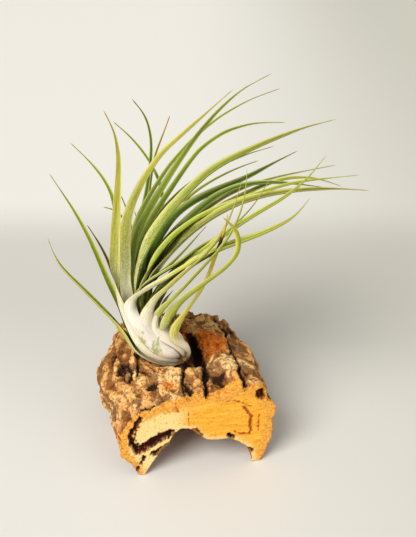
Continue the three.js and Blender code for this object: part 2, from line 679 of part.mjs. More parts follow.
// The bark is one closed shell: its outline over the top and back under the arch, row by row along the tunnel
function barkGeometry() {
  const outer = [outerFront, outerMiddle, outerBack].map(outlineCurve);
  const inner = [innerFront, innerMiddle, innerBack].map(outlineCurve);
  const ring = barkOuterPoints + barkInnerPoints;
  const corners = [];
  for (let row = 0; row < barkRowsAlong; row += 1) {
    const along = row / (barkRowsAlong - 1);
    const y = THREE.MathUtils.lerp(barkFrontY, barkBackY, along);
    for (let i = 0; i < barkOuterPoints; i += 1) {
      corners.push(barkOuterPoint(outer, along, i / (barkOuterPoints - 1), y));
    }
    for (let i = barkInnerPoints - 1; i >= 0; i -= 1) {
      const point = sectionPoint(inner, along, i / (barkInnerPoints - 1));
      point.y = y;
      corners.push(point);
    }
  }
  const faces = [];
  for (let row = 0; row < barkRowsAlong - 1; row += 1) {
    for (let i = 0; i < ring; i += 1) {
      const a = row * ring + i;
      const b = row * ring + ((i + 1) % ring);
      faces.push([a, b, b + ring], [a, b + ring, a + ring]);
    }
  }
  [0, barkRowsAlong - 1].forEach((row) => {
    const start = row * ring;
    const outline = corners.slice(start, start + ring).map((p) => new THREE.Vector2(p.x, p.z));
    const flip = row === 0 ? THREE.ShapeUtils.isClockWise(outline) : !THREE.ShapeUtils.isClockWise(outline);
    THREE.ShapeUtils.triangulateShape(outline, []).forEach(([a, b, c]) => {
      faces.push(flip ? [start + a, start + b, start + c] : [start + a, start + c, start + b]);
    });
  });
  return closedGeometry(corners, faces);
}

function stemGeometry() {
  const profile = [[0, -stemBelowButt], [stemRadius * 0.7, -stemBelowButt], [stemRadius, -1],
    [stemRadius, stemAboveButt * 0.6], [stemRadius * 0.6, stemAboveButt], [0, stemAboveButt]];
  const points = profile.map(([radius, height]) => new THREE.Vector2(radius, height));
  return new THREE.LatheGeometry(points, stemSides);
}

const plant = new THREE.Group();
const bark = new THREE.Mesh(barkGeometry(),
  new THREE.MeshStandardMaterial({ color: barkBrown, roughness: 0.9, metalness: 0 }));
bark.name = 'cork_bark';
const stem = new THREE.Mesh(stemGeometry(),
  new THREE.MeshStandardMaterial({ color: stemBrown, roughness: 0.85, metalness: 0 }));
stem.name = 'stem';
stem.position.copy(butt);
stem.quaternion.setFromUnitVectors(
  new THREE.Vector3(0, 1, 0),
  fromView(...bulbAxis).sub(butt).normalize());
plant.add(bark, stem);
const leafMaterial = new THREE.MeshStandardMaterial({ color: silverGreen, roughness: 0.75, metalness: 0 });
rows.forEach((row) => {
  const leaf = new THREE.Mesh(geometryOf(row.solid), leafMaterial);
  leaf.name = row.name;
  plant.add(leaf);
});

// The frame's origin is the middle of the box round the whole part, at the height of the bark's feet
const box = new THREE.Box3().setFromObject(plant);
plant.position.set(-(box.min.x + box.max.x) / 2, -(box.min.y + box.max.y) / 2, -box.min.z);
plant.updateMatrixWorld(true);

export default plant;
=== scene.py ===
import heapq
import math

import bmesh
import bpy
import numpy as np
from mathutils import Matrix, Vector, kdtree, noise
from mathutils.bvhtree import BVHTree


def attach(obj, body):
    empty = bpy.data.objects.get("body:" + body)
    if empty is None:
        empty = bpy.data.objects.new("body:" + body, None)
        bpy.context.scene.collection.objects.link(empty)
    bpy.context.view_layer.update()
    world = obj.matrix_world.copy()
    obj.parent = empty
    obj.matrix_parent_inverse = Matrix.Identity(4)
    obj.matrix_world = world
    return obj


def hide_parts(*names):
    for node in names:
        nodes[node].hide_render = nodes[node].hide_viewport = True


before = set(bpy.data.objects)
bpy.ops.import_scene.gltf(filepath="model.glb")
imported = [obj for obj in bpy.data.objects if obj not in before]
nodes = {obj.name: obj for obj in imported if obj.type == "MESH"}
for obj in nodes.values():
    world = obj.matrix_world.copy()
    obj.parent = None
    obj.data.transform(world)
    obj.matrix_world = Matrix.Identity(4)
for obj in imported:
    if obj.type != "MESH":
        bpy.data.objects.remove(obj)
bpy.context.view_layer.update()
scene = bpy.context.scene
scene.view_settings.view_transform = "Standard"
# without a seed of its own, noise_vector gives another bark each time
noise.seed_set(4)
# points of one mesh that lie closer than this are merged, in metres
mergeReach = 1e-6
print("frame loaded with", len(nodes), "nodes")

# where the plant's butt stands, and the viewer who looks down on it from a little to the left, in metres
# and degrees
view = {
    "butt": (-0.007249, -0.033953, 0.04),
    "azimuth": -10,
    "elevation": 30,
    "distance": 0.4,
    "across": 0.009,
    "up": 0.04475,
    "lens": 53.6,
    "nearest": 0.01,
}


def linear(hexColour):
    parts = [int(hexColour[i:i + 2], 16) / 255 for i in (0, 2, 4)]
    return tuple(p / 12.92 if p <= 0.04045 else ((p + 0.055) / 1.055) ** 2.4 for p in parts) + (1,)


def smoothBlend(low, high, value):
    t = np.clip((value - low) / (high - low), 0, 1)
    return t * t * (3 - 2 * t)


# camera at the photo's angle
azimuth = math.radians(view["azimuth"])
elevation = math.radians(view["elevation"])
viewRight = Vector((math.cos(azimuth), math.sin(azimuth), 0))
viewInto = Vector((-math.sin(azimuth) * math.cos(elevation),
                   math.cos(azimuth) * math.cos(elevation),
                   -math.sin(elevation)))
viewUp = viewRight.cross(viewInto)
sight = Vector(view["butt"]) + viewRight * view["across"] + viewUp * view["up"]
cameraPlace = sight - viewInto * view["distance"]
cameraData = bpy.data.cameras.new("camera")
cameraData.lens = view["lens"]
cameraData.clip_start = view["nearest"]
camera = bpy.data.objects.new("camera", cameraData)
turn = Matrix((viewRight, viewUp, -viewInto)).transposed().to_4x4()
camera.matrix_world = Matrix.Translation(cameraPlace) @ turn
scene.collection.objects.link(camera)
scene.camera = camera


# small helpers for materials
def newMaterial(name, roughness=0.6, specular=0.4):
    material = bpy.data.materials.new(name)
    material.use_nodes = True
    tree = material.node_tree
    shader = tree.nodes["Principled BSDF"]
    shader.inputs["Roughness"].default_value = roughness
    shader.inputs["Specular IOR Level"].default_value = specular
    return material, tree, shader


def addNode(tree, kind, **values):
    node = tree.nodes.new(kind)
    for key, value in values.items():
        setattr(node, key, value)
    return node


def plug(tree, value, socket):
    if isinstance(value, bpy.types.NodeSocket):
        tree.links.new(value, socket)
    else:
        socket.default_value = linear(value) if isinstance(value, str) else value


def calc(tree, operation, a, b=0.0, clamp=False):
    node = addNode(tree, "ShaderNodeMath", operation=operation, use_clamp=clamp)
    plug(tree, a, node.inputs[0])
    plug(tree, b, node.inputs[1])
    return node.outputs[0]


def times(tree, a, b, clamp=False):
    return calc(tree, "MULTIPLY", a, b, clamp)


def plus(tree, a, b):
    return calc(tree, "ADD", a, b)


def minus(tree, a, b):
    return calc(tree, "SUBTRACT", a, b)


def fit(tree, value, low, high, toLow=0.0, toHigh=1.0):
    node = addNode(tree, "ShaderNodeMapRange", interpolation_type="SMOOTHSTEP")
    plug(tree, value, node.inputs["Value"])
    node.inputs["From Min"].default_value = low
    node.inputs["From Max"].default_value = high
    node.inputs["To Min"].default_value = toLow
    node.inputs["To Max"].default_value = toHigh
    return node.outputs["Result"]


def mixColour(tree, factor, a, b, blend="MIX"):
    node = addNode(tree, "ShaderNodeMix", data_type="RGBA", blend_type=blend)
    plug(tree, factor, node.inputs[0])
    plug(tree, a, node.inputs[6])
    plug(tree, b, node.inputs[7])
    return node.outputs[2]


def attribute(tree, name):
    return addNode(tree, "ShaderNodeAttribute", attribute_name=name).outputs["Fac"]


def noiseAt(tree, vector, scale, detail=3.0, roughness=0.55, distortion=0.0):
    node = addNode(tree, "ShaderNodeTexNoise")
    tree.links.new(vector, node.inputs["Vector"])
    node.inputs["Scale"].default_value = scale
    node.inputs["Detail"].default_value = detail
    node.inputs["Roughness"].default_value = roughness
    node.inputs["Distortion"].default_value = distortion
    return node.outputs["Fac"]


def objectPlace(tree, stretch=(1, 1, 1), turned=(0, 0, 0)):
    place = addNode(tree, "ShaderNodeTexCoord").outputs["Object"]
    mapping = addNode(tree, "ShaderNodeMapping")
    tree.links.new(place, mapping.inputs["Vector"])
    mapping.inputs["Scale"].default_value = stretch
    mapping.inputs["Rotation"].default_value = turned
    return mapping.outputs["Vector"]


def ramp(tree, value, stops):
    node = addNode(tree, "ShaderNodeValToRGB")
    plug(tree, value, node.inputs["Fac"])
    elements = node.color_ramp.elements
    while len(elements) < len(stops):
        elements.new(0.5)
    for element, (place, colour) in zip(elements, stops):
        element.position = place
        element.color = linear(colour)
    return node.outputs["Color"]


def bump(tree, height, shader, distance, strength=1.0):
    node = addNode(tree, "ShaderNodeBump")
    tree.links.new(height, node.inputs["Height"])
    node.inputs["Distance"].default_value = distance
    node.inputs["Strength"].default_value = strength
    tree.links.new(node.outputs["Normal"], shader.inputs["Normal"])


def finishPiece(piece, nodeName):
    scene.collection.objects.link(piece)
    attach(piece, "root")
    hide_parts(nodeName)
    return piece


def setValues(mesh, name, values):
    layer = mesh.attributes.new(name, "FLOAT", "POINT")
    layer.data.foreach_set("value", np.asarray(values, dtype=np.float32))


# leaves: how fine they are, how they widen, thin out and bend into a channel, how they are measured on their
# solids, how the painted shade deep between them is measured, and the colours that all kinds share, in metres
leaf = {
    "ringsAlong": 64,
    "pointsAround": 20,
    "edgeThickness": 0.00016,
    "middleThickness": 0.00075,
    "tipHalfWidth": 0.0003,
    "tipShare": 0.14,
    "channel": 0.55,
    "sheathCurl": 0.5,
    "sheathSpread": 1.28,
    "bladeSpread": 1.34,
    "sheathStart": 0.017,
    "sheathEnd": 0.036,
    "footClosing": 0.45,
    "footReach": 0.006,
    "cutShortFrom": 0.008,
    "runsDown": 0.02,
    "keptWidth": 0.8,
    "gradualTaper": 0.2,
    "footShift": 0.0024,
    "shiftFrom": 0.002,
    "shiftTo": 0.016,
    "fullThicknessFrom": 0.0012,
    "tipSharpness": 0.75,
    "step": 0.0021,
    "ringReach": 0.8,
    "longestEdge": 0.0016,
    "leastFlatness": 1.5,
    "shadeReach": 0.013,
    "shadeWays": 16,
    "shadeLift": 0.0003,
    "roughness": 0.6,
    "bumpHeight": 0.00022,
    # how strong the pale edge is, partly its own margin and partly a painted highlight
    "edgeAndHighlightShare": 0.62,
    "fleckShare": 0.72,
    # how dark the painted shade deep between the leaves gets
    "deepShadeShare": 0.92,
    "sheen": 0.02,
    # the pale edge: partly its own margin and partly a painted highlight
    "edgeAndHighlightColour": "f4eeb0",
    "scaleColour": "f8f4dc",
    "streakColour": "ccd092",
    "fleckColour": "9cb034",
    "marginColour": "a89a58",
    "footColour": "d3a24c",
    "veinShade": (0.5, 0.54, 0.3, 1),
    # the channel: partly its own green and partly painted shade
    "channelShade": (0.68, 0.8, 0.3, 1),
    "bladeWarmth": (1.06, 1.06, 0.84, 1),
    # painted shade deep between the leaves, on the blade and on the pale sheath
    "deepShade": (0.17, 0.2, 0.07, 1),
    "deepPaleShade": (0.4, 0.3, 0.14, 1),
}
# the bulb leans to the left, up and towards the viewer
bulbLine = (viewRight * -0.70 + viewUp * 0.65 + viewInto * -0.30).normalized()

# for each kind of leaf: the sheath's colour, the blade's from low down to its tip, the scurf, and how many mm
# the pale sheath reaches up the leaf
leafKinds = {
    "cream": ("faf2e0", ("eee6b8", "dcd47c", "c4bc4c", "b48c46"), 0.4, 62),
    "white": ("fbf4ea", ("f4ecd0", "e8e0a8", "ccc664", "bc9242"), 0.5, 84),
    "silver": ("f4ecd8", ("bcc472", "a4ac48", "92942a", "9c8c3c"), 1.0, 44),
    "olive": ("f2ead2", ("b4b460", "a0a03e", "90902a", "908038"), 0.7, 40),
    "dark": ("e0dcb0", ("98a040", "5c7c0c", "507006", "727a1e"), 0.06, 34),
    "green": ("eee8ca", ("a0ac4a", "80941c", "8c9c1c", "9c9038"), 0.3, 36),
    "bright": ("f4eed4", ("ccce68", "aab81c", "b0b81a", "b4a236"), 0.25, 38),
    "yellow": ("f8eed0", ("dcd464", "d2c628", "eac41a", "d8962a"), 0.22, 32),
    "tan": ("f2ecd6", ("d0ca90", "c0b870", "c8b860", "b88e4a"), 0.95, 78),
    "brown": ("e0daae", ("9c9850", "787028", "76582a", "80502e"), 0.25, 28),
    "pink": ("e8e2bc", ("a8ac5c", "8e9a3c", "a89c58", "b86c58"), 0.3, 28),
}

# the kind of each leaf, and how much wider it is than its solid beside the usual; the leaves behind take the
# dark kind, partly as painted shade in the gaps between the leaves in front
leafLooks = {
    "leaf_low_left": ("bright", 1.0), "leaf_right_front": ("yellow", 1.3),
    "leaf_old_sheath": ("cream", 1.0), "leaf_tall_left": ("tan", 0.98), "leaf_white_front": ("white", 1.25),
    "leaf_hook_right": ("bright", 1.65), "leaf_cream_front": ("cream", 1.45),
    "leaf_back_left_outer": ("bright", 1.0), "leaf_slim_front": ("bright", 1.35),
    "leaf_short_left": ("brown", 1.0), "leaf_drooping_right": ("bright", 1.9),
    "leaf_back_left_high": ("bright", 1.0), "leaf_rising_right": ("bright", 1.65),
    "leaf_pale_middle": ("silver", 1.0), "leaf_short_middle": ("green", 1.3),
    "leaf_thin_left": ("green", 1.0), "leaf_long_right": ("olive", 1.45), "leaf_stub_left": ("dark", 1.0),
    "leaf_bright_right": ("bright", 1.25), "leaf_curled_right": ("bright", 1.65),
    "leaf_upper_right": ("olive", 1.0), "leaf_dark_right": ("dark", 1.8), "leaf_wide_left": ("tan", 1.05),
    "leaf_second_highest": ("green", 1.0), "leaf_dark_arch": ("dark", 1.9), "leaf_widest": ("silver", 1.35),
    "leaf_highest": ("green", 1.1), "leaf_grey_under": ("silver", 1.4), "leaf_level_high": ("green", 1.3),
    "leaf_hidden_rib": ("dark", 1.3), "leaf_curl_up": ("dark", 1.0), "leaf_pink_tip": ("pink", 1.0),
    "leaf_thin_back": ("green", 1.0), "leaf_behind_1": ("dark", 1.0), "leaf_behind_2": ("dark", 1.0),
    "leaf_behind_3": ("dark", 1.0),
}
# sheaths that are narrower or wider than their solid beside the usual
sheathFit = {
    "leaf_right_front": 0.42, "leaf_old_sheath": 0.85, "leaf_slim_front": 0.85, "leaf_hook_right": 0.75,
    "leaf_curled_right": 0.8, "leaf_stub_left": 0.6, "leaf_short_left": 0.8, "leaf_low_left": 0.5,
}


def makeLeafMaterial(look):
    sheathColour, colours, scurf, whiteReach = leafKinds[look]
    material, tree, shader = newMaterial(look + "Leaf", leaf["roughness"], specular=0.16)
    along = attribute(tree, "leafShare")
    side = attribute(tree, "leafSide")
    upper = attribute(tree, "leafUpper")
    length = attribute(tree, "leafLength")
    seed = attribute(tree, "leafSeed")
    place = objectPlace(tree)
    wander = noiseAt(tree, place, 60, 2)
    wandering = minus(tree, wander, 0.5)
    shifted = plus(tree, along, times(tree, wandering, 0.16))
    base = ramp(tree, shifted, list(zip((0.12, 0.42, 0.78, 1.0), colours)))
    # fine veins along the blade
    veinPlace = addNode(tree, "ShaderNodeCombineXYZ")
    tree.links.new(times(tree, side, 5.0), veinPlace.inputs[0])
    tree.links.new(times(tree, length, 0.06), veinPlace.inputs[1])
    tree.links.new(seed, veinPlace.inputs[2])
    veins = noiseAt(tree, veinPlace.outputs[0], 1.6, 4, 0.7)
    darker = mixColour(tree, 1.0, base, leaf["veinShade"], "MULTIPLY")
    colour = mixColour(tree, fit(tree, veins, 0.42, 0.62, 0.0, 0.9), base, darker)
    # the channel of the blade is greener and darker, partly its own colour and partly painted shade, and its
    # edges are pale, partly their own pale margin and partly a painted highlight
    edge = calc(tree, "POWER", calc(tree, "ABSOLUTE", side), 3.0)
    channel = times(tree, minus(tree, 1.0, edge), fit(tree, along, 0.1, 0.35, 0.0, 0.8))
    green = mixColour(tree, 1.0, colour, leaf["channelShade"], "MULTIPLY")
    colour = mixColour(tree, times(tree, channel, upper), colour, green)
    colour = mixColour(tree, times(tree, edge, leaf["edgeAndHighlightShare"]), colour, leaf["edgeAndHighlightColour"])
    # silvery scales, thickest near the bulb and on the underside
    scales = noiseAt(tree, place, 1150, 2, 0.75)
    cover = fit(tree, along, 0.1, 0.7, 1.0, 0.06)
    cover = times(tree, cover, minus(tree, 1.15, times(tree, upper, 0.6)))
    frost = times(tree, fit(tree, scales, 0.46, 0.56), cover)
    frost = times(tree, frost, scurf, clamp=True)
    colour = mixColour(tree, frost, colour, leaf["scaleColour"])
    colour = mixColour(tree, 1.0, colour, leaf["bladeWarmth"], "MULTIPLY")
    # the pale sheath, with green streaks where it runs out into the blade
    reach = plus(tree, length, times(tree, wandering, 9.0))
    reach = plus(tree, reach, times(tree, minus(tree, veins, 0.5), 22.0))
    pale = fit(tree, reach, whiteReach * 0.45, whiteReach, 1.0, 0.0)
    colour = mixColour(tree, pale, colour, sheathColour)
    streaks = times(tree, fit(tree, veins, 0.5, 0.64, 0.0, 0.55), pale)
    colour = mixColour(tree, streaks, colour, leaf["streakColour"])
    # green flecks on the sheath, its thin olive margin, and the tan foot of the bulb
    flecks = noiseAt(tree, objectPlace(tree, (1.0, 1.0, 0.5), (0.3, 0.5, 0.0)), 190, 3, 0.6)
    flecks = times(tree, fit(tree, flecks, 0.59, 0.68), pale)
    colour = mixColour(tree, times(tree, flecks, leaf["fleckShare"]), colour, leaf["fleckColour"])
    margin = fit(tree, calc(tree, "ABSOLUTE", side), 0.9, 1.0, 0.0, 0.7)
    colour = mixColour(tree, times(tree, margin, pale), colour, leaf["marginColour"])
    foot = fit(tree, plus(tree, length, times(tree, wandering, 6.0)), 7.0, 1.5, 0.0, 0.75)
    colour = mixColour(tree, foot, colour, leaf["footColour"])
    # painted shade: deep between the leaves, where they hide each other's sky, the colour is darkened to a
    # dark olive, and on the pale sheath to a brown
    deep = fit(tree, attribute(tree, "leafDeepShade"), 0.35, 0.8, 0.0, leaf["deepShadeShare"])
    deep = times(tree, deep, minus(tree, 1.0, times(tree, pale, 0.7)))
    shade = mixColour(tree, pale, leaf["deepShade"], leaf["deepPaleShade"])
    paintedShadeColour = mixColour(tree, 1.0, colour, shade, "MULTIPLY")
    colour = mixColour(tree, deep, colour, paintedShadeColour)
    tree.links.new(colour, shader.inputs["Base Color"])
    height = plus(tree, veins, times(tree, scales, 0.35))
    bump(tree, height, shader, leaf["bumpHeight"], 0.6)
    shader.inputs["Sheen Weight"].default_value = leaf["sheen"]
    shader.inputs["Sheen Roughness"].default_value = 0.4
    return material


def graphReach(neighbours, start):
    reach = np.full(len(neighbours), np.inf)
    reach[start] = 0
    queue = [(0.0, start)]
    while queue:
        distance, at = heapq.heappop(queue)
        if distance > reach[at]:
            continue
        for other, length in neighbours[at]:
            further = distance + length
            if further < reach[other]:
                reach[other] = further
                heapq.heappush(queue, (further, other))
    return reach


def smoothRows(rows, rounds):
    rows = rows.copy()
    for _ in range(rounds):
        rows[1:-1] = rows[1:-1] * 0.5 + (rows[:-2] + rows[2:]) * 0.25
    return rows


# The middle line of a leaf, its width and its turn, measured on the solid that the leaf stands for
def measureLeaf(node):
    bm = bmesh.new()
    bm.from_mesh(node.data)
    bmesh.ops.remove_doubles(bm, verts=bm.verts, dist=mergeReach)
    for _ in range(6):
        longEdges = [e for e in bm.edges if e.calc_length() > leaf["longestEdge"]]
        if not longEdges:
            break
        bmesh.ops.subdivide_edges(bm, edges=longEdges, cuts=1)
        bmesh.ops.triangulate(bm, faces=bm.faces)
    places = np.array([v.co for v in bm.verts])
    bm.verts.index_update()
    neighbours = [[(e.other_vert(v).index, e.calc_length()) for e in v.link_edges] for v in bm.verts]
    bm.free()
    butt = np.array(view["butt"])
    oneEnd = int(np.argmax(graphReach(neighbours, 0)))
    reach = graphReach(neighbours, oneEnd)
    otherEnd = int(np.argmax(reach))
    if np.linalg.norm(places[oneEnd] - butt) > np.linalg.norm(places[otherEnd] - butt):
        reach = graphReach(neighbours, otherEnd)
    full = reach.max()
    count = max(12, int(full / leaf["step"]))
    spots = np.linspace(0, full, count + 1)
    groups = [places[np.abs(reach - spot) < leaf["step"] * leaf["ringReach"]] for spot in spots]
    centres, acrosses, halves = [], [], []
    for group in groups:
        centres.append((group.min(0) + group.max(0)) / 2 if len(group) < 4 else group.mean(0))
    centres = smoothRows(np.array(centres), 3)
    alongs = np.gradient(centres, axis=0)
    alongs /= np.linalg.norm(alongs, axis=1)[:, None]
    for group, centre, along in zip(groups, centres, alongs):
        group = group - centre
        group = group - np.outer(group @ along, along)
        values, vectors = np.linalg.eigh(group.T @ group)
        across = vectors[:, 2]
        if acrosses and acrosses[-1] @ across < 0:
            across = -across
        flatness = math.sqrt(max(values[2], 1e-16) / max(values[1], 1e-16))
        if acrosses and flatness < leaf["leastFlatness"]:
            across = acrosses[-1] - along * (acrosses[-1] @ along)
            across /= np.linalg.norm(across)
        spread = group @ across
        acrosses.append(across)
        halves.append((spread.max() - spread.min()) / 2)
    acrosses = smoothRows(np.array(acrosses), 4)
    acrosses -= alongs * np.sum(acrosses * alongs, axis=1)[:, None]
    acrosses /= np.linalg.norm(acrosses, axis=1)[:, None]
    facings = np.cross(acrosses, alongs)
    rise = 0.0
    for group, centre, across, facing, half in zip(groups, centres, acrosses, facings, halves):
        group = group - centre
        share = np.abs(group @ across) / max(half, 1e-6)
        height = group @ facing
        if (share > 0.7).any() and (share < 0.3).any():
            rise += height[share > 0.7].mean() - height[share < 0.3].mean()
    if rise < 0:
        acrosses, facings = -acrosses, -facings
    return centres, alongs, acrosses, facings, smoothRows(np.array(halves), 3), full


# A leaf that its neighbours cut short keeps its width and turn below its widest place, and runs on into
# the bulb
def runDown(centres, alongs, acrosses, halves, full):
    line = np.array(bulbLine)
    widest = int(np.argmax(halves))
    halves[:widest] = np.maximum(halves[:widest], halves[widest] * leaf["keptWidth"])
    for at in range(widest - 1, -1, -1):
        across = acrosses[at + 1] - alongs[at] * (acrosses[at + 1] @ alongs[at])
        acrosses[at] = across / np.linalg.norm(across)
    butt = np.array(view["butt"])
    lift = (centres[0] - butt) @ line
    goal = butt + line * max(lift - leaf["runsDown"], 0.002)
    span = np.linalg.norm(centres[0] - goal)
    bend = centres[0] - alongs[0] * span * 0.5
    t = np.linspace(0, 1, max(3, int(span / leaf["step"])), endpoint=False)[:, None]
    centres = np.concatenate([goal * (1 - t) ** 2 + bend * 2 * t * (1 - t) + centres[0] * t ** 2, centres])
    alongs = np.gradient(centres, axis=0)
    alongs /= np.linalg.norm(alongs, axis=1)[:, None]
    acrosses = np.concatenate([np.repeat(acrosses[:1], len(t), axis=0), acrosses])
    acrosses -= alongs * np.sum(acrosses * alongs, axis=1)[:, None]
    acrosses /= np.linalg.norm(acrosses, axis=1)[:, None]
    halves = np.concatenate([np.full(len(t), halves[0]), halves])
    return centres, acrosses, np.cross(acrosses, alongs), smoothRows(halves, 2), full + span


def buildLeaf(name, wider, material, seed):
    centres, alongs, acrosses, facings, halves, full = measureLeaf(nodes[name])
    butt = np.array(view["butt"])
    if np.linalg.norm(centres[0] - butt) > leaf["cutShortFrom"]:
        centres, acrosses, facings, halves, full = runDown(centres, alongs, acrosses, halves, full)
    known = np.linspace(0, 1, len(centres))
    shares = np.linspace(0, 1, leaf["ringsAlong"])

    def at(rows):
        return np.stack([np.interp(shares, known, rows[:, i]) for i in range(3)], axis=1)

    centres, acrosses, facings = smoothRows(at(centres), 2), at(acrosses), at(facings)
    halves = np.interp(shares, known, halves)
    length = shares * full
    sheath = 1 - smoothBlend(leaf["sheathStart"], leaf["sheathEnd"], length)
    blade = leaf["bladeSpread"] * wider
    spread = blade + (leaf["sheathSpread"] * sheathFit.get(name, 1.0) - blade) * sheath
    foot = smoothBlend(-0.002, 0.005, length)
    halves = halves * spread * (0.5 + 0.5 * foot) * (1 - leaf["gradualTaper"] * shares)
    taper = np.clip((1 - shares) / leaf["tipShare"], 0, 1) ** leaf["tipSharpness"]
    halves = np.maximum(halves * (0.08 + 0.92 * taper), leaf["tipHalfWidth"])
    halves[-1] = leaf["tipHalfWidth"] * 0.2
    # the feet of the sheaths close over the stem
    line = np.array(bulbLine)
    onLine = butt + np.outer((centres - butt) @ line, line)
    closing = leaf["footClosing"] * (1 - smoothBlend(0, leaf["footReach"], length))
    centres = centres + (onLine - centres) * closing[:, None]
    aside = leaf["footShift"] * (1 - smoothBlend(leaf["shiftFrom"], leaf["shiftTo"], length))
    centres = centres - np.outer(aside, np.array(viewRight))
    around = leaf["pointsAround"]
    bm = bmesh.new()
    layers = [bm.verts.layers.float.new(n) for n in
              ("leafSide", "leafUpper", "leafShare", "leafLength", "leafSeed")]
    bmesh.ops.create_grid(bm, x_segments=around, y_segments=leaf["ringsAlong"] - 1, size=1)
    order = sorted(bm.verts, key=lambda v: (round(v.co.y, 5), v.co.x))
    for ring in range(leaf["ringsAlong"]):
        half = halves[ring]
        thick = leaf["middleThickness"] * min(1, half / leaf["fullThicknessFrom"]) / 2
        thin = min(leaf["edgeThickness"] / 2, thick)
        bow = half * (leaf["channel"] * (1 - sheath[ring]) + leaf["sheathCurl"] * sheath[ring])
        for k in range(around + 1):
            angle = 2 * math.pi * k / around
            side = math.cos(angle)
            bulge = math.sin(angle)
            rise = bow * side * side - bow * 0.4
            body = (thin + (thick - thin) * (1 - side * side)) * bulge
            vert = order[ring * (around + 1) + k]
            vert.co = Vector(centres[ring] + acrosses[ring] * (half * side) + facings[ring] * (rise + body))
            values = (side, 1.0 if bulge > 0 else 0.0, shares[ring], length[ring] * 1000, seed * 3.7)
            for layer, value in zip(layers, values):
                vert[layer] = value
    bmesh.ops.remove_doubles(bm, verts=bm.verts, dist=mergeReach * 2)
    ends = [e for e in bm.edges if e.is_boundary]
    bmesh.ops.holes_fill(bm, edges=ends, sides=0)
    bmesh.ops.triangulate(bm, faces=[f for f in bm.faces if len(f.verts) > 4])
    bmesh.ops.recalc_face_normals(bm, faces=bm.faces)
    for face in bm.faces:
        face.smooth = True
    mesh = bpy.data.meshes.new(name + "Blade")
    bm.to_mesh(mesh)
    bm.free()
    mesh.materials.append(material)
    piece = bpy.data.objects.new(name + "Blade", mesh)
    return finishPiece(piece, name)


# How deep each point lies between the leaves: the share of its sky that they hide close by, which the leaves'
# colour takes as painted shade
def measureLeafShade(pieces):
    bm = bmesh.new()
    for piece in pieces:
        bm.from_mesh(piece.data)
    tree = BVHTree.FromBMesh(bm)
    bm.free()
    count = leaf["shadeWays"]
    turns = [(math.pi * (1 + 5 ** 0.5) * k, math.acos(1 - 2 * (k + 0.5) / count)) for k in range(count)]
    skyWays = [Vector((math.cos(a) * math.sin(b), math.sin(a) * math.sin(b), math.cos(b))) for a, b in turns]
    for piece in pieces:
        deep = []
        for vert in piece.data.vertices:
            start = vert.co + vert.normal * leaf["shadeLift"]
            seen = [way for way in skyWays if way.dot(vert.normal) > 0.15]
            hidden = sum(tree.ray_cast(start, way, leaf["shadeReach"])[0] is not None for way in seen)
            deep.append(hidden / max(len(seen), 1))
        setValues(piece.data, "leafDeepShade", deep)


leafMaterials = {}
leafPieces = []
for index, name in enumerate(sorted(n for n in nodes if n.startswith("leaf_"))):
    look, wider = leafLooks.get(name, ("green", 1.0))
    if look not in leafMaterials:
        leafMaterials[look] = makeLeafMaterial(look)
    leafPieces.append(buildLeaf(name, wider, leafMaterials[look], index))
measureLeafShade(leafPieces)
print("leaves built")


# cork bark: the solid's form with its ridges, plates, crevices and cut ends worked out fine, in mm, and its
# colours, each ramp from dark to light
cork = {
    "fineness": 0.58,
    "ridgeAcross": 13,
    "ridgeAlong": 36,
    "ridgeHeight": 1.9,
    "plateAcross": 5.5,
    "plateAlong": 17,
    "crackWidth": 0.11,
    "crackDepth": 0.9,
    "flakeAcross": 4.4,
    "flakeAlong": 15,
    "flakeSteps": 4,
    "flakeHeight": 1.6,
    "grainHeight": 0.35,
    "highest": 0.3,
    "rimReach": 4.5,
    "rimWidth": 7.5,
    "endReach": 3,
    "bends": ((0.055, 6), (0.2, 1.6)),
    "grainScale": 0.9,
    "broadScale": 0.12,
    "patchScale": 0.08,
    "roughness": 0.85,
    "bumpHeight": 0.0007,
    "barkColours": [(0.28, "a06230"), (0.4, "d8944e"), (0.54, "f4bc70"), (0.68, "ffdc9e")],
    "barkDark": "74401a",
    "barkPale": "ffdc9e",
    # painted shade low in the relief
    "hollowShade": "6a3410",
    # the crevices: partly their own dark brown and partly painted shade
    "creviceDarkAndShadeColour": "1d0c05",
    # painted shade in the hole beside the plant
    "holeShadeColour": "180602",
    "heartColours": [(0.32, "6a260a"), (0.42, "c25a12"), (0.56, "e07e28"), (0.72, "f0b062")],
    "cutColours": [(0.3, "ea9426"), (0.45, "f8ae34"), (0.6, "ffc148"), (0.75, "ffd26c")],
    "rimColours": [(0.3, "a95e16"), (0.42, "e2932c"), (0.56, "f8b44e"), (0.72, "ffd68a")],
    "tunnelRimColour": "ffe2a2",
    "paleLeftColour": "ffe9a4",
    "poreColour": "b4681a",
    "veinColour": "a63e0c",
    # the splits: partly their own red-brown and partly painted shade
    "splitColoursAndShade": [(0.4, "1c0602"), (0.54, "4c1608"), (0.68, "a8561c")],
    "tunnelColours": [(0.3, "6e3f1a"), (0.5, "a8682c"), (0.7, "c98a45")],
}
# the bark is measured in mm of its own, in which the plant's butt stands at 1, -7, 40
shift = Vector(view["butt"]) * 1000 - Vector((1, -7, 40))
